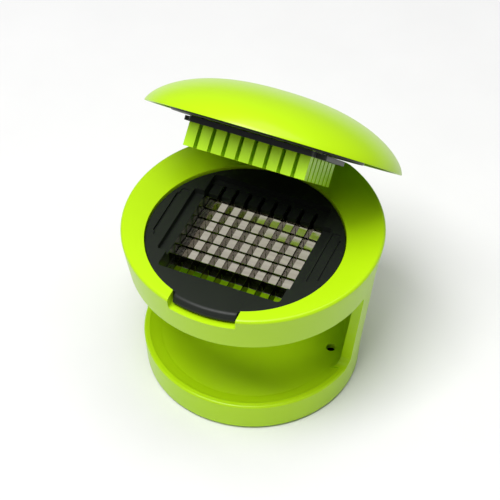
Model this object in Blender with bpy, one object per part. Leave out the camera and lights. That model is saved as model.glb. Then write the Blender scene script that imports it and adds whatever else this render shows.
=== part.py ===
"""Hand vegetable dicer: one-piece stand, drop-in blade grid, hinged lid with a finger pusher.

Millimetres while building, metres in the finished meshes.  +Z up, the finger notch faces -Y,
and the origin is the centre of the non-slip pad's underside.
"""
import math

import bmesh
import bpy
from mathutils import Matrix, Vector

MM = 0.001

# stand
RING_R = 45.0
RING_TOP = 62.5
BAND_BOTTOM = 47.9
BAND_R = 42.55
BASE_R = 37.8
BASE_RIM = 12.2
FLOOR_TOP = 10.8
FLOOR_UNDER = 8.6
SHELL_BOTTOM = 0.5
WALL_END_Y = -4.0
NOTCH_HALF = 12.0
NOTCH_FLOOR = 58.4

# drop-in blade carrier
BORE_Y = -6.7
CARRIER_R = 33.55
BORE_R = 33.85
LEDGE_R = 31.6
LEDGE_Z = 58.4
CARRIER_TOP = 62.0
CARRIER_UNDER = 58.7
WELL_HALF = 21.8
WELL_FRONT = -29.4
WELL_REAR = 15.7
COMB_REAR = 17.6
SHELF_Z = 54.4
TAB_HALF = 11.0
TAB_END = -40.9
EAR_POCKET = 25.3
POCKET_FLOOR = 59.7

# blade grid
PITCH = 4.85
BLADE_T = 0.4
BLADE_TOP = 60.0
BLADE_LOW = 54.8
BLADE_MID = 57.4
FIRST_CROSS = -21.1
LENGTHWISE = 8
CROSSWISE = 7
SLOT = 1.0

# lid and hinge
HINGE_Y = 37.4
HINGE_Z = 55.5
PIN_R = 1.5
PIN_HALF = 15.2
BARREL_R = 4.0
TONGUE_HALF = 11.7
SLOT_HALF = 12.2
REAR_ROUND = 7.0
LID_R = 44.6
LID_INNER_R = 42.4
LID_RIM = 63.0
LID_RISE = 16.6
LID_INNER_RISE = 14.4
OPEN_DEG = 45.9
FINGER = 3.5
FINGER_TIP = 52.3
PUSHER_Y = -8.95
LINER_R = 33.2
LINER_UNDER = 62.4
LINER_TOP = 64.6
EAR_HALF = 25.0
PLATE_LOW = 60.3
PLATE_TOP = 61.8


def material(name, colour, metallic, roughness):
    mat = bpy.data.materials.new(name)
    mat.use_nodes = True
    shader = mat.node_tree.nodes["Principled BSDF"]
    shader.inputs["Base Color"].default_value = (*colour, 1.0)
    shader.inputs["Metallic"].default_value = metallic
    shader.inputs["Roughness"].default_value = roughness
    mat.diffuse_color = (*colour, 1.0)
    return mat


def mesh_object(verts, faces):
    """A scratch object in millimetres with outward faces."""
    mesh = bpy.data.meshes.new("scratch")
    mesh.from_pydata([tuple(v) for v in verts], [], faces)
    bm = bmesh.new()
    bm.from_mesh(mesh)
    bmesh.ops.recalc_face_normals(bm, faces=bm.faces)
    bm.to_mesh(mesh)
    bm.free()
    obj = bpy.data.objects.new("scratch", mesh)
    bpy.context.collection.objects.link(obj)
    return obj


def lathe(profile, steps=96, centre=(0.0, 0.0)):
    """Turn a closed (radius, z) outline about a vertical axis."""
    verts = []
    rings = []
    for radius, z in profile:
        if radius < 1e-6:
            rings.append([len(verts)])
            verts.append((centre[0], centre[1], z))
            continue
        rings.append(list(range(len(verts), len(verts) + steps)))
        for i in range(steps):
            a = 2.0 * math.pi * (i + 0.5) / steps
            verts.append((centre[0] + radius * math.cos(a), centre[1] + radius * math.sin(a), z))
    faces = []
    count = len(profile)
    for k in range(count):
        low = rings[k]
        high = rings[(k + 1) % count]
        if len(low) == 1 and len(high) == 1:
            continue
        for i in range(steps):
            j = (i + 1) % steps
            if len(low) == 1:
                faces.append((low[0], high[j], high[i]))
            elif len(high) == 1:
                faces.append((low[i], low[j], high[0]))
            else:
                faces.append((low[i], low[j], high[j], high[i]))
    return mesh_object(verts, faces)


def box(x0, x1, y0, y1, z0, z1):
    verts = [(x, y, z) for x in (x0, x1) for y in (y0, y1) for z in (z0, z1)]
    faces = [(0, 1, 3, 2), (4, 6, 7, 5), (0, 4, 5, 1), (2, 3, 7, 6), (0, 2, 6, 4), (1, 5, 7, 3)]
    return mesh_object(verts, faces)


def prism_x(outline, x0, x1):
    """Extrude a (y, z) outline along X."""
    n = len(outline)
    verts = [(x0, y, z) for y, z in outline] + [(x1, y, z) for y, z in outline]
    faces = [tuple(range(n)), tuple(range(2 * n - 1, n - 1, -1))]
    faces += [(i, (i + 1) % n, n + (i + 1) % n, n + i) for i in range(n)]
    return mesh_object(verts, faces)


def prism_y(outline, y0, y1):
    """Extrude an (x, z) outline along Y."""
    n = len(outline)
    verts = [(x, y0, z) for x, z in outline] + [(x, y1, z) for x, z in outline]
    faces = [tuple(range(n)), tuple(range(2 * n - 1, n - 1, -1))]
    faces += [(i, (i + 1) % n, n + (i + 1) % n, n + i) for i in range(n)]
    return mesh_object(verts, faces)


def prism_z(outline, z0, z1):
    """Extrude an (x, y) outline along Z."""
    n = len(outline)
    verts = [(x, y, z0) for x, y in outline] + [(x, y, z1) for x, y in outline]
    faces = [tuple(range(n)), tuple(range(2 * n - 1, n - 1, -1))]
    faces += [(i, (i + 1) % n, n + (i + 1) % n, n + i) for i in range(n)]
    return mesh_object(verts, faces)


def arc(cy, cz, radius, start, stop, steps):
    angles = [math.radians(start + (stop - start) * i / steps) for i in range(steps + 1)]
    return [(cy + radius * math.cos(a), cz + radius * math.sin(a)) for a in angles]


def combine(target, tool, operation):
    """Boolean the tool into the target and drop the tool."""
    mod = target.modifiers.new("combine", "BOOLEAN")
    mod.operation = operation
    mod.solver = "EXACT"
    mod.object = tool
    graph = bpy.context.evaluated_depsgraph_get()
    result = bpy.data.meshes.new_from_object(target.evaluated_get(graph))
    target.modifiers.clear()
    target.data = result
    bpy.data.objects.remove(tool)
    return target


def cut(target, tool):
    return combine(target, tool, "DIFFERENCE")


def join(target, tool):
    return combine(target, tool, "UNION")


def swing(point):
    """A lid point from the closed position to the rest (open) position, about the hinge."""
    a = math.radians(OPEN_DEG)
    y = point[1] - HINGE_Y
    z = point[2] - HINGE_Z
    return (point[0], y * math.cos(a) + z * math.sin(a), -y * math.sin(a) + z * math.cos(a))


def finish(obj, name, mat, on_lid=False, smooth=True):
    """Scale to metres, place the origin, name and shade the piece."""
    mesh = obj.data
    for vert in mesh.vertices:
        if on_lid:
            vert.co = Vector(swing(vert.co)) * MM
        else:
            vert.co = vert.co * MM
    if on_lid:
        obj.location = (0.0, HINGE_Y * MM, HINGE_Z * MM)
    bm = bmesh.new()
    bm.from_mesh(mesh)
    bmesh.ops.remove_doubles(bm, verts=bm.verts, dist=2e-6)
    bmesh.ops.dissolve_degenerate(bm, dist=2e-6, edges=bm.edges)
    bm.to_mesh(mesh)
    bm.free()
    mesh.materials.clear()
    mesh.materials.append(mat)
    for poly in mesh.polygons:
        poly.material_index = 0
        poly.use_smooth = smooth
    if smooth:
        mesh.set_sharp_from_angle(angle=math.radians(32))
    obj.name = name
    mesh.name = name
    return obj


def make_body_shell(mat):
    """Base puck, rear wall and top ring in one moulding."""
    outline = [
        (0.0, FLOOR_UNDER), (34.8, FLOOR_UNDER), (35.5, 7.9), (35.5, SHELL_BOTTOM),
        (37.2, SHELL_BOTTOM), (BASE_R, 1.1), (38.5, BASE_RIM), (BAND_R, BAND_BOTTOM),
        (44.85, 61.7), (44.55, 62.25), (44.0, RING_TOP), (34.0, 62.9), (26.0, 62.9),
        (26.0, 60.0), (41.3, 59.6), (41.0, 58.0), (39.6, BAND_BOTTOM), (35.4, 13.6), (34.8, 12.0),
        (33.6, 11.1), (32.0, FLOOR_TOP), (0.0, FLOOR_TOP),
    ]
    shell = lathe(outline, 72)
    collar = lathe([(30.0, 55.6), (36.3, 55.6), (36.3, 60.6), (30.0, 60.6)], 72, (0.0, BORE_Y))
    join(shell, collar)
    for side in (-1, 1):
        inner = SLOT_HALF
        outer = SLOT_HALF + 4.2
        lug = prism_x([(32.4, 60.4), (33.0, 52.5), (36.0, 50.6), (39.6, 50.6), (39.6, 60.4)],
                      side * inner, side * outer)
        join(shell, lug)
    cut(shell, lathe([(0, 50), (LEDGE_R, 50), (LEDGE_R, LEDGE_Z), (BORE_R, LEDGE_Z), (BORE_R, 70), (0, 70)],
                     72, (0.0, BORE_Y)))
    cut(shell, box(-60, 60, -60, WALL_END_Y, BASE_RIM, BAND_BOTTOM))
    cut(shell, box(-NOTCH_HALF, NOTCH_HALF, -50, -33, NOTCH_FLOOR, 70))
    cut(shell, box(-SLOT_HALF, SLOT_HALF, 32.7, 60, 50.2, 70))
    corner = arc(HINGE_Y, HINGE_Z, REAR_ROUND, 0, 90, 12) + [(HINGE_Y, 70), (60, 70), (60, HINGE_Z)]
    cut(shell, prism_x(corner, -60, 60))
    cut(shell, prism_x(arc(HINGE_Y, HINGE_Z, PIN_R + 0.3, 0, 345, 23), -PIN_HALF - 0.3, PIN_HALF + 0.3))
    for side in (-1, 1):
        cut(shell, lathe([(0, 5), (1.6, 5), (1.6, 14), (0, 14)], 24, (side * 29.0, 1.8)))
    return finish(shell, "body_shell", mat)


def make_base_cover(mat):
    cover = lathe([(0, 1.8), (35.0, 1.8), (35.2, 2.0), (35.2, 3.4), (0, 3.4)], 64)
    for x, y in SCREWS:
        cut(cover, lathe([(0, 0), (2.4, 0), (2.4, 2.8), (1.4, 2.8), (1.4, 5), (0, 5)], 20, (x, y)))
    return finish(cover, "base_cover", mat)


def make_pad(mat):
    pad = lathe([(0, 0), (34.2, 0), (34.7, 0.4), (34.7, 1.5), (0, 1.5)], 64)
    return finish(pad, "non_slip_pad", mat)


def make_cover_screw(index, mat):
    x, y = SCREWS[index]
    screw = lathe([(0, 1.85), (2.1, 1.85), (2.1, 2.5), (1.1, 2.5), (1.1, 7.6), (0.7, 8.2), (0, 8.2)],
                  20, (x, y))
    return finish(screw, "cover_screw_%d" % (index + 1), mat)


def make_hinge_pin(mat):
    outline = arc(HINGE_Y, HINGE_Z, PIN_R, 0, 345, 23)
    pin = prism_x(outline, -PIN_HALF, PIN_HALF)
    return finish(pin, "hinge_pin", mat)


def make_blade_carrier(mat):
    """Drop-in disc with the finger tab, the sunken well and its end shelves."""
    disc = lathe([(0, CARRIER_UNDER), (CARRIER_R, CARRIER_UNDER), (CARRIER_R, 61.7), (33.25, CARRIER_TOP),
                  (0, CARRIER_TOP)], 72, (0.0, BORE_Y))
    tub = box(-25.2, 25.2, -30.2, 17.4, SHELF_Z - 2.0, 61.0)
    combine(tub, lathe([(0, 50), (31.2, 50), (31.2, 61.5), (0, 61.5)], 72, (0.0, BORE_Y)), "INTERSECT")
    join(disc, tub)
    tab = [(-33.0, 61.7), (-38.8, 61.7), (-40.2, 61.3), (TAB_END, 60.4), (TAB_END, 59.4),
           (-40.0, 58.9), (-39.2, 59.2), (-39.0, 60.0), (-38.4, 60.3), (-33.0, 60.3)]
    join(disc, prism_x(tab, -TAB_HALF, TAB_HALF))
    cut(disc, box(-WELL_HALF, WELL_HALF, WELL_FRONT, WELL_REAR, SHELF_Z, 70))
    cut(disc, box(-WELL_HALF, WELL_HALF, 10.0, COMB_REAR, 59.3, 70))
    cut(disc, box(-21.5, 21.5, -26.4, 9.6, 40, 70))
    for side in (-1, 1):
        cut(disc, box(*sorted((side * 21.0, side * EAR_POCKET)), -22.5, 8.5, POCKET_FLOOR, 70))
        cut(disc, box(*sorted((side * 25.9, side * 29.4)), -17.5, 7.0, 61.4, 70))
    for k in range(9):
        x = (k - 4) * PITCH
        join(disc, box(x - 1.7, x + 1.7, 10.6, 15.9, 54.2, 59.3))
    return finish(disc, "blade_carrier", mat)


def make_retaining_frame(mat):
    """Snap-in frame below the shelves that keeps the blade grid down."""
    frame = box(-23.6, 23.6, -28.6, 12.0, 48.7, 52.1)
    cut(frame, box(-21.5, 21.5, -26.4, 9.6, 40, 60))
    return finish(frame, "blade_retaining_frame", mat, smooth=False)


def make_lengthwise_blade(index, mat):
    """Front-to-back blade, notched from its top edge at every crossing."""
    x = (index - (LENGTHWISE - 1) / 2.0) * PITCH
    outline = [(WELL_FRONT + 0.3, BLADE_LOW), (WELL_REAR - 0.3, BLADE_LOW), (WELL_REAR - 0.3, BLADE_TOP)]
    for k in range(CROSSWISE - 1, -1, -1):
        y = FIRST_CROSS + PITCH * k
        outline += [(y + SLOT / 2, BLADE_TOP), (y + SLOT / 2, BLADE_MID - 0.15),
                    (y - SLOT / 2, BLADE_MID - 0.15), (y - SLOT / 2, BLADE_TOP)]
    outline.append((WELL_FRONT + 0.3, BLADE_TOP))
    blade = prism_x(outline, x - BLADE_T / 2, x + BLADE_T / 2)
    return finish(blade, "lengthwise_blade_%d" % (index + 1), mat, smooth=False)


def make_cross_blade(index, mat):
    """Side-to-side blade, notched from its lower edge at every crossing."""
    y = FIRST_CROSS + PITCH * index
    half = WELL_HALF - 0.3
    outline = [(half, BLADE_TOP), (-half, BLADE_TOP), (-half, BLADE_LOW)]
    for k in range(LENGTHWISE):
        x = (k - (LENGTHWISE - 1) / 2.0) * PITCH
        outline += [(x - SLOT / 2, BLADE_LOW), (x - SLOT / 2, BLADE_MID + 0.15),
                    (x + SLOT / 2, BLADE_MID + 0.15), (x + SLOT / 2, BLADE_LOW)]
    outline.append((half, BLADE_LOW))
    blade = prism_y(outline, y - BLADE_T / 2, y + BLADE_T / 2)
    return finish(blade, "cross_blade_%d" % (index + 1), mat, smooth=False)


def dome(radius, rise):
    """Half outline of a lid surface from the rim to the crown."""
    points = []
    for i in range(11):
        t = math.cos(math.pi / 2.0 * i / 10.0)
        r = radius * t
        if i == 10:
            r = 0.0
        points.append((r, LID_RIM + rise * (1.0 - t ** 2.4) ** 0.66))
    return points


def make_lid_shell(mat):
    """Domed lid with the hinge tongue and four screw posts."""
    outline = dome(LID_R, LID_RISE) + list(reversed(dome(LID_INNER_R, LID_INNER_RISE)))
    lid = lathe(outline, 64)
    for x, y in POSTS:
        height = 63.0 + LID_INNER_RISE * (1.0 - (math.hypot(x, y) / LID_INNER_R) ** 2.4) ** 0.66
        join(lid, lathe([(0, 64.9), (2.5, 64.9), (2.5, height + 0.9), (0, height + 0.9)], 20, (x, y)))
        cut(lid, lathe([(0, 60), (1.3, 60), (1.3, 69.0), (0, 69.0)], 20, (x, y)))
    tongue = arc(HINGE_Y, HINGE_Z, BARREL_R, 180, 330, 12) + [(41.0, 58.5), (41.0, 65.2), (33.4, 67.4)]
    join(lid, prism_x(tongue, -TONGUE_HALF, TONGUE_HALF))
    cut(lid, prism_x(arc(HINGE_Y, HINGE_Z, PIN_R + 0.3, 0, 345, 23), -22, 22))
    return finish(lid, "lid_shell", mat, on_lid=True)


def make_lid_liner(mat):
    """Disc that closes the lid, with a window for the pusher."""
    liner = lathe([(0, LINER_UNDER), (LINER_R - 0.4, LINER_UNDER), (LINER_R, LINER_UNDER + 0.4),
                   (LINER_R, LINER_TOP), (0, LINER_TOP)], 64, (0.0, BORE_Y))
    for x, y in POSTS:
        cut(liner, lathe([(0, 60), (2.3, 60), (2.3, 63.2), (1.4, 63.2), (1.4, 70), (0, 70)], 20, (x, y)))
    cut(liner, box(-21.6, 21.6, PUSHER_Y - 16.65, PUSHER_Y + 16.65, 60, 70))
    return finish(liner, "lid_liner", mat, on_lid=True)


def make_liner_screw(index, mat):
    x, y = POSTS[index]
    screw = lathe([(0, 62.5), (2.0, 62.5), (2.0, 62.9), (1.0, 62.9), (1.0, 68.2), (0.6, 68.7), (0, 68.7)],
                  20, (x, y))
    return finish(screw, "liner_screw_%d" % (index + 1), mat, on_lid=True)


def make_pusher(mat):
    """Backing plate and the 9 by 7 field of square fingers."""
    verts = []
    faces = []
    xs = []
    ys = []
    for i in range(9):
        c = (i - 4) * PITCH
        xs += [c - FINGER / 2, c + FINGER / 2]
    for j in range(7):
        c = PUSHER_Y + (j - 3) * PITCH
        ys += [c - FINGER / 2, c + FINGER / 2]
    root = 62.4
    back = 65.2
    index = {}

    def vert(x, y, z):
        key = (round(x, 5), round(y, 5), round(z, 5))
        if key not in index:
            index[key] = len(verts)
            verts.append((x, y, z))
        return index[key]

    for i in range(len(xs) - 1):
        for j in range(len(ys) - 1):
            x0, x1, y0, y1 = xs[i], xs[i + 1], ys[j], ys[j + 1]
            is_finger = i % 2 == 0 and j % 2 == 0
            z = FINGER_TIP if is_finger else root
            faces.append((vert(x0, y0, z), vert(x0, y1, z), vert(x1, y1, z), vert(x1, y0, z)))
            faces.append((vert(x0, y0, back), vert(x1, y0, back), vert(x1, y1, back), vert(x0, y1, back)))
            if is_finger:
                ring = [(x0, y0), (x1, y0), (x1, y1), (x0, y1)]
                for k in range(4):
                    a = ring[k]
                    b = ring[(k + 1) % 4]
                    faces.append((vert(*a, z), vert(*b, z), vert(*b, root), vert(*a, root)))
    edge = [(xs[0], ys[0]), (xs[-1], ys[0]), (xs[-1], ys[-1]), (xs[0], ys[-1])]
    cols = [xs, ys, list(reversed(xs)), list(reversed(ys))]
    for k in range(4):
        line = cols[k]
        for m in range(len(line) - 1):
            if k % 2 == 0:
                a = (line[m], edge[k][1])
                b = (line[m + 1], edge[k][1])
            else:
                a = (edge[k][0], line[m])
                b = (edge[k][0], line[m + 1])
            faces.append((vert(*a, root), vert(*b, root), vert(*b, back), vert(*a, back)))
    pusher = mesh_object(verts, faces)
    join(pusher, box(-21.0, 21.0, PUSHER_Y - 18.4, PUSHER_Y + 18.4, 64.9, 66.0))
    return finish(pusher, "pusher_block", mat, on_lid=True, smooth=False)


def make_stripper(mat):
    """Loose cleaning plate threaded over the fingers."""
    hole = FINGER + 0.7
    plate = box(-21.6, 21.6, PUSHER_Y - 17.2, PUSHER_Y + 17.2, PLATE_LOW, PLATE_TOP)
    join(plate, box(-EAR_HALF, EAR_HALF, -21.0, 5.0, PLATE_LOW, PLATE_TOP - 0.4))
    verts = []
    faces = []
    for i in range(9):
        for j in range(7):
            cx = (i - 4) * PITCH
            cy = PUSHER_Y + (j - 3) * PITCH
            n = len(verts)
            for x in (cx - hole / 2, cx + hole / 2):
                for y in (cy - hole / 2, cy + hole / 2):
                    for z in (59.0, 63.0):
                        verts.append((x, y, z))
            faces += [(n, n + 1, n + 3, n + 2), (n + 4, n + 6, n + 7, n + 5), (n, n + 4, n + 5, n + 1),
                      (n + 2, n + 3, n + 7, n + 6), (n, n + 2, n + 6, n + 4), (n + 1, n + 5, n + 7, n + 3)]
    cut(plate, mesh_object(verts, faces))
    return finish(plate, "stripper_plate", mat, on_lid=True, smooth=False)


SCREWS = [(0.0, 26.0), (22.5, -13.0), (-22.5, -13.0)]
POSTS = [(25.4, 7.6), (-25.4, 7.6), (25.4, -21.0), (-25.4, -21.0)]


def main():
    for obj in list(bpy.data.objects):
        bpy.data.objects.remove(obj, do_unlink=True)
    green = material("lime_plastic", (0.42, 0.78, 0.03), 0.0, 0.25)
    pusher_green = material("pusher_plastic", (0.36, 0.68, 0.04), 0.0, 0.35)
    black = material("black_plastic", (0.012, 0.014, 0.012), 0.0, 0.45)
    grey = material("grey_plastic", (0.05, 0.052, 0.05), 0.0, 0.5)
    steel = material("blade_steel", (0.62, 0.61, 0.58), 1.0, 0.28)
    rubber = material("pad_rubber", (0.02, 0.02, 0.02), 0.0, 0.85)
    make_body_shell(green)
    make_base_cover(black)
    make_pad(rubber)
    for i in range(len(SCREWS)):
        make_cover_screw(i, steel)
    make_hinge_pin(steel)
    make_blade_carrier(black)
    make_retaining_frame(black)
    for i in range(LENGTHWISE):
        make_lengthwise_blade(i, steel)
    for i in range(CROSSWISE):
        make_cross_blade(i, steel)
    make_lid_shell(green)
    make_lid_liner(black)
    for i in range(len(POSTS)):
        make_liner_screw(i, steel)
    make_pusher(pusher_green)
    make_stripper(grey)


main()
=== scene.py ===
import math

import bmesh
import bpy
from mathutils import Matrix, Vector


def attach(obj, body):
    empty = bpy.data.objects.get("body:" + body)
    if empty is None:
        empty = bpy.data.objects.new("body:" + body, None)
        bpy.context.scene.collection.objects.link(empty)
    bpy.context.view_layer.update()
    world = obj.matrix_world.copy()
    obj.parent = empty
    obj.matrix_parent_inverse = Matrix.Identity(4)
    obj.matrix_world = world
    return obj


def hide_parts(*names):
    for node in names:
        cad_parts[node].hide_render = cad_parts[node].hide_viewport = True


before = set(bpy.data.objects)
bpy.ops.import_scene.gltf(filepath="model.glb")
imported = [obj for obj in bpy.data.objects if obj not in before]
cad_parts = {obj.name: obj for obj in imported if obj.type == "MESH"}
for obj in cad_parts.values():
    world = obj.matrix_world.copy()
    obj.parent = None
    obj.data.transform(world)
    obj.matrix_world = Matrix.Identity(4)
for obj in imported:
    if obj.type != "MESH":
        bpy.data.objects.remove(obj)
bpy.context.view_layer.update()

MM = 0.001

# stand
BASE_FLOOR = 10.8
BASE_RIM = 12.3
WALL_END = -4.0
RING_UNDER = 47.9
RING_TOP = 62.5
RING_R = 44.85
BORE_Y = -6.7
BORE_R = 33.85
NOTCH_HALF = 12.0
NOTCH_FLOOR = 58.2
SLOT_HALF = 12.2
LUG_WIDTH = 4.2
REAR_ROUND = 7.0
FLOOR_HOLE_X = 29.0
FLOOR_HOLE_Y = 1.8

# blade carrier
DISC_R = 33.55
DISC_TOP = 62.0
TAB_HALF = 11.1
TAB_R = 42.3
WELL_HALF = 21.8
WELL_FRONT = -29.4
WELL_REAR = 15.7
COMB_BLOCKS = 9

# blades
PITCH = 4.85
BLADE_T = 0.36
BLADE_TOP = 60.0
BLADE_LOW = 54.8
BLADE_MID = 57.4
MID_PLAY = 0.15
EDGE = 0.7
FIRST_CROSS = -21.1
LENGTHWISE = 8
CROSSWISE = 7
NOTCH = 0.6

# lid
HINGE_Y = 37.4
HINGE_Z = 55.5
PIN_HOLE = 1.8
LID_R = 44.6
LID_RISE = 15.9
LID_INNER_R = 42.4
LID_INNER_RISE = 13.7
LID_RIM = 63.0
OPEN_DEG = 45.9
TONGUE_HALF = 11.7
LINER_R = 33.2
PUSHER_Y = -8.95
FINGER = 3.6
FINGER_COLUMNS = 9
FINGER_ROWS = 7
POSTS = [(25.4, 7.6), (-25.4, 7.6), (25.4, -21.0), (-25.4, -21.0)]


# ---------------------------------------------------------------- shapes, in millimetres


def mesh_object(verts, faces):
    mesh = bpy.data.meshes.new("scratch")
    mesh.from_pydata([tuple(v) for v in verts], [], faces)
    bm = bmesh.new()
    bm.from_mesh(mesh)
    bmesh.ops.recalc_face_normals(bm, faces=bm.faces)
    bm.to_mesh(mesh)
    bm.free()
    obj = bpy.data.objects.new("scratch", mesh)
    bpy.context.scene.collection.objects.link(obj)
    return obj


def fillet(points, radii, steps=5):
    """Round the corners of a closed outline; a radius of 0 leaves a corner as it is."""
    out = []
    n = len(points)
    for i in range(n):
        p = Vector(points[i])
        radius = radii[i]
        if radius <= 0:
            out.append(tuple(p))
            continue
        a = (Vector(points[i - 1]) - p).normalized()
        b = (Vector(points[(i + 1) % n]) - p).normalized()
        half = a.angle(b) / 2.0
        reach = radius / math.tan(half)
        centre = p + (a + b).normalized() * (radius / math.sin(half))
        v0 = p + a * reach - centre
        v1 = p + b * reach - centre
        sweep = v0.angle(v1)
        for k in range(steps + 1):
            t = k / steps
            v = (v0 * math.sin((1 - t) * sweep) + v1 * math.sin(t * sweep)) / math.sin(sweep)
            out.append(tuple(centre + v))
    return out


def lathe(profile, steps=160, centre=(0.0, 0.0)):
    """Turn a closed (radius, z) outline about a vertical axis."""
    verts = []
    rings = []
    for radius, z in profile:
        if radius < 1e-6:
            rings.append([len(verts)])
            verts.append((centre[0], centre[1], z))
            continue
        rings.append(list(range(len(verts), len(verts) + steps)))
        for i in range(steps):
            a = 2.0 * math.pi * (i + 0.5) / steps
            verts.append((centre[0] + radius * math.cos(a), centre[1] + radius * math.sin(a), z))
    faces = []
    for k in range(len(profile)):
        low = rings[k]
        high = rings[(k + 1) % len(profile)]
        if len(low) == 1 and len(high) == 1:
            continue
        for i in range(steps):
            j = (i + 1) % steps
            if len(low) == 1:
                faces.append((low[0], high[j], high[i]))
            elif len(high) == 1:
                faces.append((low[i], low[j], high[0]))
            else:
                faces.append((low[i], low[j], high[j], high[i]))
    return mesh_object(verts, faces)


def prism(outline, lo, hi, axis):
    """Extrude an outline along an axis; the outline's two coordinates are the other axes in order."""

    def place(p, t):
        if axis == "X":
            return (t, p[0], p[1])
        if axis == "Y":
            return (p[0], t, p[1])
        return (p[0], p[1], t)

    n = len(outline)
    verts = [place(p, lo) for p in outline] + [place(p, hi) for p in outline]
    faces = [tuple(range(n)), tuple(range(2 * n - 1, n - 1, -1))]
    faces += [(i, (i + 1) % n, n + (i + 1) % n, n + i) for i in range(n)]
    return mesh_object(verts, faces)


def box(x0, x1, y0, y1, z0, z1):
    return prism([(x0, y0), (x1, y0), (x1, y1), (x0, y1)], z0, z1, "Z")


def round_box(x0, x1, y0, y1, z0, z1, radius):
    """A block with rounded upright corners."""
    outline = fillet([(x0, y0), (x1, y0), (x1, y1), (x0, y1)], [radius] * 4)
    return prism(outline, z0, z1, "Z")


def arc(cy, cz, radius, start, stop, steps):
    """Points of an arc about (cy, cz), its angles in degrees."""
    angles = [math.radians(start + (stop - start) * i / steps) for i in range(steps + 1)]
    return [(cy + radius * math.cos(a), cz + radius * math.sin(a)) for a in angles]


def combine(target, tool, operation):
    """Apply one Boolean to the target and remove the tool."""
    mod = target.modifiers.new("combine", "BOOLEAN")
    mod.operation = operation
    mod.solver = "EXACT"
    mod.object = tool
    graph = bpy.context.evaluated_depsgraph_get()
    result = bpy.data.meshes.new_from_object(target.evaluated_get(graph))
    target.modifiers.clear()
    target.data = result
    bpy.data.objects.remove(tool)
    return target


def cut(target, tool):
    return combine(target, tool, "DIFFERENCE")


def join(target, tool):
    return combine(target, tool, "UNION")


def pin_hole(target, half):
    """Bore for the hinge pin, along X."""
    return cut(target, prism(arc(HINGE_Y, HINGE_Z, PIN_HOLE, 0, 345, 23), -half, half, "X"))


def swing(point):
    """A lid point from the closed position to the rest position, about the hinge."""
    a = math.radians(OPEN_DEG)
    y = point[1] - HINGE_Y
    z = point[2] - HINGE_Z
    return (
        point[0],
        HINGE_Y + y * math.cos(a) + z * math.sin(a),
        HINGE_Z - y * math.sin(a) + z * math.cos(a),
    )


def finish(obj, name, mat, body, nodes, bevel=0.0, angle=38.0, segments=2):
    """Scale to metres, round the cut edges, shade, and hand the piece to its body."""
    mesh = obj.data
    for vert in mesh.vertices:
        co = swing(vert.co) if body == "lid" else tuple(vert.co)
        vert.co = Vector(co) * MM
    bm = bmesh.new()
    bm.from_mesh(mesh)
    bmesh.ops.remove_doubles(bm, verts=bm.verts, dist=1e-5)
    bmesh.ops.dissolve_degenerate(bm, dist=1e-5, edges=bm.edges)
    bm.to_mesh(mesh)
    bm.free()
    if bevel > 0:
        mod = obj.modifiers.new("edge", "BEVEL")
        mod.width = bevel * MM
        mod.segments = segments
        mod.limit_method = "ANGLE"
        mod.angle_limit = math.radians(angle)
        mod.use_clamp_overlap = True
        graph = bpy.context.evaluated_depsgraph_get()
        result = bpy.data.meshes.new_from_object(obj.evaluated_get(graph))
        obj.modifiers.clear()
        obj.data = result
        mesh = result
    mesh.materials.clear()
    mesh.materials.append(mat)
    for poly in mesh.polygons:
        poly.material_index = 0
        poly.use_smooth = True
    mesh.set_sharp_from_angle(angle=math.radians(30))
    mod = obj.modifiers.new("normals", "WEIGHTED_NORMAL")
    mod.keep_sharp = True
    obj.name = name
    mesh.name = name
    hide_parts(*nodes)
    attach(obj, body)
    return obj


# ---------------------------------------------------------------- materials


def plastic(name, low, high, rough, coat=0.0, coat_rough=0.1, bump=0.02, grain=900.0):
    """Moulded plastic: slow colour drift, fine texture in gloss and surface."""
    mat = bpy.data.materials.new(name)
    mat.use_nodes = True
    nodes = mat.node_tree.nodes
    links = mat.node_tree.links
    shader = nodes["Principled BSDF"]
    coords = nodes.new("ShaderNodeTexCoord")

    drift = nodes.new("ShaderNodeTexNoise")
    drift.inputs["Scale"].default_value = 28.0
    drift.inputs["Detail"].default_value = 3.0
    links.new(coords.outputs["Object"], drift.inputs["Vector"])
    ramp = nodes.new("ShaderNodeValToRGB")
    ramp.color_ramp.elements[0].position = 0.3
    ramp.color_ramp.elements[0].color = (*low, 1.0)
    ramp.color_ramp.elements[1].position = 0.7
    ramp.color_ramp.elements[1].color = (*high, 1.0)
    links.new(drift.outputs["Fac"], ramp.inputs["Fac"])
    links.new(ramp.outputs["Color"], shader.inputs["Base Color"])

    fine = nodes.new("ShaderNodeTexNoise")
    fine.inputs["Scale"].default_value = grain
    fine.inputs["Detail"].default_value = 4.0
    links.new(coords.outputs["Object"], fine.inputs["Vector"])
    gloss = nodes.new("ShaderNodeMapRange")
    gloss.inputs["To Min"].default_value = rough * 0.85
    gloss.inputs["To Max"].default_value = rough * 1.15
    links.new(fine.outputs["Fac"], gloss.inputs["Value"])
    links.new(gloss.outputs["Result"], shader.inputs["Roughness"])
    relief = nodes.new("ShaderNodeBump")
    relief.inputs["Strength"].default_value = bump
    relief.inputs["Distance"].default_value = 0.0002
    links.new(fine.outputs["Fac"], relief.inputs["Height"])
    links.new(relief.outputs["Normal"], shader.inputs["Normal"])

    shader.inputs["Specular IOR Level"].default_value = 0.22
    shader.inputs["Coat Weight"].default_value = coat
    shader.inputs["Coat Roughness"].default_value = coat_rough
    return mat


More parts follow.
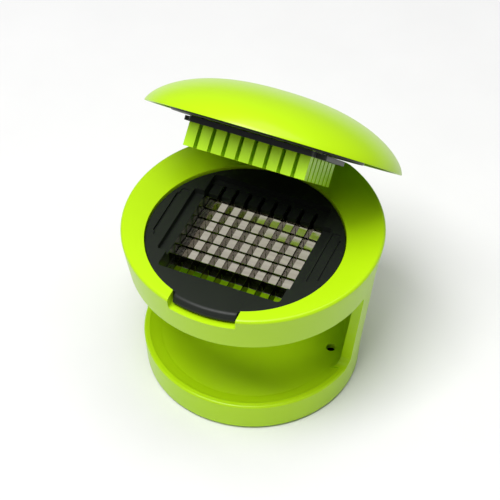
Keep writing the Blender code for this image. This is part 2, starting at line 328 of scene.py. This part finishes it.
def steel(name, low, high, rough, stretch):
    """Brushed steel: streaks along one direction in tone, gloss and relief."""
    mat = bpy.data.materials.new(name)
    mat.use_nodes = True
    nodes = mat.node_tree.nodes
    links = mat.node_tree.links
    shader = nodes["Principled BSDF"]
    shader.inputs["Metallic"].default_value = 1.0
    coords = nodes.new("ShaderNodeTexCoord")
    mapping = nodes.new("ShaderNodeMapping")
    mapping.inputs["Scale"].default_value = stretch
    links.new(coords.outputs["Object"], mapping.inputs["Vector"])
    streak = nodes.new("ShaderNodeTexNoise")
    streak.inputs["Scale"].default_value = 60.0
    streak.inputs["Detail"].default_value = 5.0
    links.new(mapping.outputs["Vector"], streak.inputs["Vector"])
    ramp = nodes.new("ShaderNodeValToRGB")
    ramp.color_ramp.elements[0].position = 0.25
    ramp.color_ramp.elements[0].color = (*low, 1.0)
    ramp.color_ramp.elements[1].position = 0.75
    ramp.color_ramp.elements[1].color = (*high, 1.0)
    links.new(streak.outputs["Fac"], ramp.inputs["Fac"])
    links.new(ramp.outputs["Color"], shader.inputs["Base Color"])
    gloss = nodes.new("ShaderNodeMapRange")
    gloss.inputs["To Min"].default_value = rough * 0.7
    gloss.inputs["To Max"].default_value = rough * 1.3
    links.new(streak.outputs["Fac"], gloss.inputs["Value"])
    links.new(gloss.outputs["Result"], shader.inputs["Roughness"])
    relief = nodes.new("ShaderNodeBump")
    relief.inputs["Strength"].default_value = 0.08
    relief.inputs["Distance"].default_value = 0.0001
    links.new(streak.outputs["Fac"], relief.inputs["Height"])
    links.new(relief.outputs["Normal"], shader.inputs["Normal"])
    return mat


# ---------------------------------------------------------------- stand


def make_body(mat):
    """Base puck, rear wall and top ring in one moulding."""
    outline = fillet(
        [
            (0.0, 8.6), (35.5, 8.6), (35.5, 0.5), (37.7, 0.5), (38.5, BASE_RIM), (42.5, RING_UNDER),
            (RING_R, RING_TOP), (41.4, RING_TOP + 0.12), (26.0, RING_TOP + 0.5),
            (26.0, 60.0), (41.4, 59.7), (39.4, RING_UNDER), (34.9, BASE_RIM + 0.1),
            (32.5, BASE_FLOOR), (0.0, BASE_FLOOR),
        ],
        [0, 0.6, 0.3, 0.9, 0.0, 0.0, 1.1, 0.0, 0, 0, 1.0, 0.0, 2.0, 2.0, 0],
        5,
    )
    shell = lathe(outline, 144)
    join(shell, lathe([(30.0, 55.6), (36.3, 55.6), (36.3, 60.6), (30.0, 60.6)], 120, (0.0, BORE_Y)))
    for side in (-1, 1):
        lug = [(32.4, 60.4), (33.0, 52.5), (36.0, 50.6), (39.6, 50.6), (39.6, 60.4)]
        join(shell, prism(lug, *sorted((side * SLOT_HALF, side * (SLOT_HALF + LUG_WIDTH))), "X"))
    bore = fillet([(0, 50), (31.6, 50), (31.6, 58.4), (BORE_R, 58.4), (BORE_R, 62.6), (34.6, 66), (0, 66)],
                  [0, 0, 0.2, 0, 0.3, 0, 0], 3)
    cut(shell, lathe(bore, 144, (0.0, BORE_Y)))
    front = fillet([(-60, BASE_RIM), (WALL_END, BASE_RIM), (WALL_END, RING_UNDER), (-60, RING_UNDER)],
                   [0, 3.2, 1.5, 0], 8)
    cut(shell, prism(front, -60, 60, "X"))
    rim_inside = [
        (30, 10.82), (32.5, 10.95), (34.6, 11.35), (36.0, 11.95), (36.8, 12.45), (36.8, 14), (30, 14),
    ]
    rim_outside = arc(37.5, 11.3, 1.05, 90, 10, 6) + [(45, 11.3), (45, 14), (37.5, 14)]
    for outline in (rim_inside, rim_outside):
        tool = lathe(outline, 144)
        combine(tool, box(-60, 60, -60, -7.2, 5, 20), "INTERSECT")
        cut(shell, tool)
    notch = [(-NOTCH_HALF, 70), (-NOTCH_HALF, NOTCH_FLOOR), (NOTCH_HALF, NOTCH_FLOOR), (NOTCH_HALF, 70)]
    notch = fillet(notch, [0, 1.0, 1.0, 0])
    cut(shell, prism(notch, -50, -33, "Y"))
    cut(shell, box(-SLOT_HALF, SLOT_HALF, 32.7, 60, 50.2, 70))
    corner = arc(HINGE_Y, HINGE_Z, REAR_ROUND, 0, 90, 16) + [(HINGE_Y, 70), (60, 70), (60, HINGE_Z)]
    cut(shell, prism(corner, -60, 60, "X"))
    pin_hole(shell, 15.5)
    for side in (-1, 1):
        hole = [(0, 5), (1.6, 5), (1.6, 10.5), (1.9, 10.9), (1.9, 14), (0, 14)]
        cut(shell, lathe(hole, 28, (side * FLOOR_HOLE_X, FLOOR_HOLE_Y)))
    return finish(shell, "stand_moulding", mat, "stand", ["body_shell"], 0.42, 42.0, 3)


def make_carrier(mat):
    """Drop-in disc: finger tab, sunken well with a comb behind the blades, pockets at the sides."""
    outline = fillet([(0, 58.7), (DISC_R, 58.7), (DISC_R, DISC_TOP), (0, DISC_TOP)], [0, 0.3, 0.45, 0])
    disc = lathe(outline, 144, (0.0, BORE_Y))
    tub = box(-25.2, 25.2, -30.2, 17.4, 52.4, 61.0)
    combine(tub, lathe([(0, 50), (31.2, 50), (31.2, 61.5), (0, 61.5)], 120, (0.0, BORE_Y)), "INTERSECT")
    join(disc, tub)
    tab = fillet(
        [
            (34.5, DISC_TOP + 0.04), (41.0, DISC_TOP + 0.04), (TAB_R, 60.4), (TAB_R, 59.3), (40.8, 59.3),
            (40.2, 60.4), (34.5, 60.4),
        ],
        [0, 1.7, 1.2, 0.4, 0.4, 0.6, 0],
        6,
    )
    lip = lathe(tab, 240)
    combine(lip, round_box(-TAB_HALF, TAB_HALF, -60, -30, 50, 70, 0.8), "INTERSECT")
    join(disc, lip)
    well = fillet([(-WELL_HALF, WELL_FRONT), (WELL_HALF, WELL_FRONT), (WELL_HALF, WELL_REAR),
                   (-WELL_HALF, WELL_REAR)], [1.2, 1.2, 1.6, 1.6])
    cut(disc, prism(well, 54.4, 70, "Z"))
    cut(disc, round_box(-21.7, 21.7, 13.0, 17.6, 59.35, 70, 1.2))
    cut(disc, box(-21.5, 21.5, -26.4, 9.6, 40, 70))
    for side in (-1, 1):
        lo, hi = sorted((side * 21.0, side * 25.3))
        cut(disc, round_box(lo, hi, -22.5, 8.5, 59.7, 70, 1.1))
        lo, hi = sorted((side * 26.1, side * 29.3))
        cut(disc, round_box(lo, hi, -17.5, 7.0, 61.4, 70, 0.9))
        lo, hi = sorted((side * 29.3, side * 30.1))
        cut(disc, round_box(lo, hi, -15.5, 4.5, 60.9, 70, 0.35))
    for k in range(COMB_BLOCKS):
        x = (k - (COMB_BLOCKS - 1) / 2.0) * PITCH
        join(disc, box(x - 1.75, x + 1.75, 10.6, 15.95, 54.2, 59.2))
    return finish(disc, "blade_carrier_disc", mat, "stand", ["blade_carrier"], 0.22, 45.0, 2)


def comb_blade(name, node, mat, along, at, length, crossings, top_open):
    """A strip along X or Y with a notch at each crossing and a honed top edge.

    at is its place on the other axis, length its (start, stop), and top_open says whether
    the notches come down from the edge or up from below."""
    half = BLADE_T / 2
    thin = 0.05
    hone = BLADE_TOP - EDGE
    gap = NOTCH / 2
    verts = []
    faces = []

    def point(s, t, z):
        if along == "Y":
            return (at + t, s, z)
        return (s, at + t, z)

    def slab(outline, low_half, high_half, level):
        """A prism over an (s, z) outline, its corners above a level drawn in to a thin edge."""
        base = len(verts)
        n = len(outline)
        for sign in (-1, 1):
            for s, z in outline:
                verts.append(point(s, sign * (high_half if z > level else low_half), z))
        faces.append(tuple(base + i for i in range(n)))
        faces.append(tuple(base + n + i for i in range(n - 1, -1, -1)))
        for i in range(n):
            j = (i + 1) % n
            faces.append((base + i, base + j, base + n + j, base + n + i))

    s0, s1 = length
    if top_open:
        outline = [(s0, BLADE_LOW), (s1, BLADE_LOW), (s1, hone)]
        teeth = []
        right = s1
        for c in reversed(crossings):
            root = BLADE_MID - MID_PLAY
            outline += [(c + gap, hone), (c + gap, root), (c - gap, root), (c - gap, hone)]
            teeth.append((c + gap, right))
            right = c - gap
        teeth.append((s0, right))
        outline.append((s0, hone))
    else:
        outline = [(s1, hone), (s0, hone), (s0, BLADE_LOW)]
        for c in crossings:
            root = BLADE_MID + MID_PLAY
            outline += [(c - gap, BLADE_LOW), (c - gap, root), (c + gap, root), (c + gap, BLADE_LOW)]
        outline.append((s1, BLADE_LOW))
        teeth = [(s0, s1)]
    slab(outline, half, half, 1e9)
    for a, b in teeth:
        slab([(a, hone), (b, hone), (b, BLADE_TOP), (a, BLADE_TOP)], half, thin, hone + 0.1)
    blade = mesh_object(verts, faces)
    bm = bmesh.new()
    bm.from_mesh(blade.data)
    bmesh.ops.remove_doubles(bm, verts=bm.verts, dist=1e-4)
    inner = [f for f in bm.faces if all(abs(v.co.z - hone) < 1e-4 for v in f.verts)]
    bmesh.ops.delete(bm, geom=inner, context="FACES_ONLY")
    bmesh.ops.recalc_face_normals(bm, faces=bm.faces)
    bm.to_mesh(blade.data)
    bm.free()
    return finish(blade, name, mat, "stand", [node])


def make_blades(mat_painted_reflection, mat_painted_shade):
    crossings_y = [FIRST_CROSS + PITCH * k for k in range(CROSSWISE)]
    crossings_x = [(k - (LENGTHWISE - 1) / 2.0) * PITCH for k in range(LENGTHWISE)]
    front_back = (WELL_FRONT + 0.3, WELL_REAR - 0.3)
    side_side = (-WELL_HALF + 0.3, WELL_HALF - 0.3)
    # Lengthwise blades take the darker steel as painted shade, crosswise blades the lighter steel as
    # painted reflection.
    for k, x in enumerate(crossings_x):
        comb_blade("blade_front_back_%d" % (k + 1), "lengthwise_blade_%d" % (k + 1), mat_painted_shade,
                   "Y", x, front_back, crossings_y, True)
    for k, y in enumerate(crossings_y):
        comb_blade("blade_side_side_%d" % (k + 1), "cross_blade_%d" % (k + 1), mat_painted_reflection,
                   "X", y, side_side, crossings_x, False)


# ---------------------------------------------------------------- lid


def crown(share, rise):
    """Height of a dome at a share of its radius from the middle."""
    return LID_RIM + rise * (1.0 - share ** 2.4) ** 0.66


def dome(radius, rise, steps):
    """A dome's profile, from the rim to the middle."""
    points = []
    for i in range(steps + 1):
        share = max(0.0, math.cos(math.pi / 2.0 * i / steps))
        r = 0.0 if i == steps else radius * share
        points.append((r, crown(share, rise)))
    return points


def make_lid(mat):
    """Domed shell with hinge tongue and screw posts."""
    outer = dome(LID_R, LID_RISE, 26)
    inner = list(reversed(dome(LID_INNER_R, LID_INNER_RISE, 20)))
    inner[-1] = (LID_INNER_R, LID_RIM + 0.25)
    outline = outer + inner[:-1] + [(LID_INNER_R, LID_RIM + 0.2), (LID_INNER_R + 0.2, LID_RIM)]
    lid = lathe(outline, 144)
    for x, y in POSTS:
        height = crown(math.hypot(x, y) / LID_INNER_R, LID_INNER_RISE)
        join(lid, lathe([(0, 64.9), (2.5, 64.9), (2.5, height + 0.9), (0, height + 0.9)], 24, (x, y)))
        cut(lid, lathe([(0, 60), (1.3, 60), (1.3, 69.0), (0, 69.0)], 24, (x, y)))
    tongue = arc(HINGE_Y, HINGE_Z, 4.0, 180, 330, 16) + [(41.0, 58.5), (41.0, 65.2), (33.4, 67.4)]
    join(lid, prism(tongue, -TONGUE_HALF, TONGUE_HALF, "X"))
    pin_hole(lid, 22)
    return finish(lid, "lid_dome", mat, "lid", ["lid_shell"], 0.12, 50.0, 2)


def make_liner(mat):
    """Disc under the lid with a window for the pusher and a row of slots in front of it."""
    outline = fillet([(0, 62.4), (LINER_R, 62.4), (LINER_R, 64.6), (0, 64.6)], [0, 0.5, 0.3, 0], 3)
    liner = lathe(outline, 120, (0.0, BORE_Y))
    for x, y in POSTS:
        cut(liner, lathe([(0, 60), (2.3, 60), (2.3, 63.2), (1.4, 63.2), (1.4, 70), (0, 70)], 24, (x, y)))
    cut(liner, box(-21.6, 21.6, PUSHER_Y - 16.65, PUSHER_Y + 16.65, 60, 70))
    for k in range(LENGTHWISE):
        x = (k - (LENGTHWISE - 1) / 2.0) * PITCH
        cut(liner, round_box(x - 1.3, x + 1.3, -31.2, -28.6, 60, 63.4, 0.4))
    return finish(liner, "lid_liner_disc", mat, "lid", ["lid_liner"], 0.15, 50.0, 2)


def finger_centres():
    xs = [(i - (FINGER_COLUMNS - 1) / 2.0) * PITCH for i in range(FINGER_COLUMNS)]
    ys = [PUSHER_Y + (j - (FINGER_ROWS - 1) / 2.0) * PITCH for j in range(FINGER_ROWS)]
    return xs, ys


def finger_field(finger, tip, root, back):
    """A slab with a field of square fingers standing on its lower face."""
    verts = []
    faces = []
    index = {}
    centres_x, centres_y = finger_centres()
    xs = [c + side * finger / 2 for c in centres_x for side in (-1, 1)]
    ys = [c + side * finger / 2 for c in centres_y for side in (-1, 1)]

    def vert(x, y, z):
        key = (round(x, 5), round(y, 5), round(z, 5))
        if key not in index:
            index[key] = len(verts)
            verts.append((x, y, z))
        return index[key]

    for i in range(len(xs) - 1):
        for j in range(len(ys) - 1):
            x0, x1, y0, y1 = xs[i], xs[i + 1], ys[j], ys[j + 1]
            stands = i % 2 == 0 and j % 2 == 0
            z = tip if stands else root
            faces.append((vert(x0, y0, z), vert(x0, y1, z), vert(x1, y1, z), vert(x1, y0, z)))
            faces.append((vert(x0, y0, back), vert(x1, y0, back), vert(x1, y1, back), vert(x0, y1, back)))
            if stands:
                ring = [(x0, y0), (x1, y0), (x1, y1), (x0, y1)]
                for k in range(4):
                    a = ring[k]
                    b = ring[(k + 1) % 4]
                    faces.append((vert(*a, z), vert(*b, z), vert(*b, root), vert(*a, root)))
    sides = [[(x, ys[0]) for x in xs], [(xs[-1], y) for y in ys], [(x, ys[-1]) for x in reversed(xs)],
             [(xs[0], y) for y in reversed(ys)]]
    for line in sides:
        for m in range(len(line) - 1):
            a = line[m]
            b = line[m + 1]
            faces.append((vert(*a, root), vert(*b, root), vert(*b, back), vert(*a, back)))
    return mesh_object(verts, faces)


def make_pusher(mat):
    """The field of fingers on a flange that rests on the liner."""
    pusher = finger_field(FINGER, 52.3, 62.4, 65.2)
    join(pusher, box(-21.0, 21.0, PUSHER_Y - 18.4, PUSHER_Y + 18.4, 64.9, 66.0))
    return finish(pusher, "finger_pusher", mat, "lid", ["pusher_block"], 0.16, 50.0, 2)


def make_stripper(mat):
    """Loose cleaning plate threaded over the fingers, with a grip ear at each side."""
    hole = FINGER + 0.5
    plate = round_box(-21.6, 21.6, PUSHER_Y - 17.2, PUSHER_Y + 17.2, 60.25, 62.1, 1.0)
    join(plate, round_box(-25.0, 25.0, -21.0, 5.0, 60.35, 61.9, 1.2))
    verts = []
    faces = []
    centres_x, centres_y = finger_centres()
    for cx in centres_x:
        for cy in centres_y:
            n = len(verts)
            for x in (cx - hole / 2, cx + hole / 2):
                for y in (cy - hole / 2, cy + hole / 2):
                    for z in (59.0, 63.0):
                        verts.append((x, y, z))
            faces += [(n, n + 1, n + 3, n + 2), (n + 4, n + 6, n + 7, n + 5), (n, n + 4, n + 5, n + 1),
                      (n + 2, n + 3, n + 7, n + 6), (n, n + 2, n + 6, n + 4), (n + 1, n + 5, n + 7, n + 3)]
    cut(plate, mesh_object(verts, faces))
    return finish(plate, "stripper_comb", mat, "lid", ["stripper_plate"], 0.15, 50.0, 2)


# ---------------------------------------------------------------- setting, in metres


def stage_and_light():
    """White floor and soft light from above; the plain transform keeps the lime saturated."""
    bpy.context.scene.view_settings.view_transform = "Standard"
    floor = prism([(-3.0, -3.0), (3.0, -3.0), (3.0, 3.0), (-3.0, 3.0)], -0.02, 0.0, "Z")
    floor.name = "studio_floor"
    mat = plastic("studio_white", (0.77, 0.77, 0.77), (0.79, 0.79, 0.79), 0.9, bump=0.0)
    floor.data.materials.append(mat)

    world = bpy.data.worlds.new("studio")
    bpy.context.scene.world = world
    world.use_nodes = True
    sky = world.node_tree.nodes["Background"]
    sky.inputs["Color"].default_value = (1.0, 1.0, 1.0, 1.0)
    sky.inputs["Strength"].default_value = 0.2

    def soft_box(name, where, target, size, watts):
        data = bpy.data.lights.new(name, "AREA")
        data.shape = "RECTANGLE"
        data.size = size[0]
        data.size_y = size[1]
        data.energy = watts
        lamp = bpy.data.objects.new(name, data)
        lamp.location = where
        lamp.rotation_mode = "QUATERNION"
        lamp.rotation_quaternion = (Vector(target) - Vector(where)).to_track_quat("-Z", "Y")
        bpy.context.scene.collection.objects.link(lamp)

    soft_box("key", (-0.12, -0.36, 1.05), (0, 0, 0.05), (0.6, 0.5), 12.0)
    soft_box("top", (0.12, 0.2, 1.15), (0, 0, 0.06), (0.9, 0.7), 4.5)


def camera():
    """Camera in front and to the right, looking down on the open dicer."""
    azimuth = math.radians(23.2)
    elevation = math.radians(46.03)
    back = Vector((
        math.sin(azimuth) * math.cos(elevation),
        -math.cos(azimuth) * math.cos(elevation),
        math.sin(elevation),
    ))
    data = bpy.data.cameras.new("camera")
    data.sensor_width = 36.0
    data.lens = 147.4
    data.clip_start = 0.05
    data.clip_end = 20.0
    cam = bpy.data.objects.new("camera", data)
    cam.location = (0.1898, -0.4455, 0.5517)
    cam.rotation_mode = "QUATERNION"
    cam.rotation_quaternion = (-back).to_track_quat("-Z", "Y")
    bpy.context.scene.collection.objects.link(cam)
    bpy.context.scene.camera = cam


def main():
    lime = plastic("lime_gloss", (0.435, 0.715, 0.004), (0.455, 0.735, 0.005), 0.32, coat=0.16,
                   coat_rough=0.16, bump=0.004)
    pusher_green = plastic("pusher_green", (0.42, 0.75, 0.006), (0.45, 0.78, 0.008), 0.36, bump=0.004)
    black = plastic("black_satin", (0.010, 0.012, 0.010), (0.016, 0.019, 0.015), 0.42, bump=0.05,
                    grain=1400.0)
    # The stripper's own dark grey, lightened a little as painted reflection on the grip ears.
    grey = plastic("grey_satin_painted_reflection", (0.040, 0.042, 0.042), (0.055, 0.057, 0.057), 0.38, bump=0.05,
                   grain=1400.0)
    rubber = plastic("pad_rubber", (0.018, 0.018, 0.018), (0.028, 0.028, 0.028), 0.8, bump=0.2, grain=700.0)
    # The blades are one steel in two tones: the crosswise ones lighter as painted reflection, the
    # lengthwise ones darker as painted shade.
    blades_painted_reflection = steel("blade_steel_painted_reflection", (0.34, 0.31, 0.26), (0.46, 0.43, 0.37), 0.09, (1.0, 12.0, 12.0))
    blades_painted_shade = steel("blade_steel_painted_shade", (0.10, 0.08, 0.06), (0.17, 0.14, 0.11), 0.16, (12.0, 1.0, 12.0))
    screw = steel("screw_steel", (0.45, 0.45, 0.44), (0.56, 0.56, 0.55), 0.32, (4.0, 4.0, 4.0))

    make_body(lime)
    make_carrier(black)
    make_blades(blades_painted_reflection, blades_painted_shade)
    make_lid(lime)
    make_liner(black)
    make_pusher(pusher_green)
    make_stripper(grey)

    kept = {
        "base_cover": black, "blade_retaining_frame": black, "non_slip_pad": rubber, "hinge_pin": screw,
        "cover_screw_1": screw, "cover_screw_2": screw, "cover_screw_3": screw,
        "liner_screw_1": screw, "liner_screw_2": screw, "liner_screw_3": screw, "liner_screw_4": screw,
    }
    for name, mat in kept.items():
        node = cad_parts[name]
        node.data.materials.clear()
        node.data.materials.append(mat)

    stage_and_light()
    camera()


main()
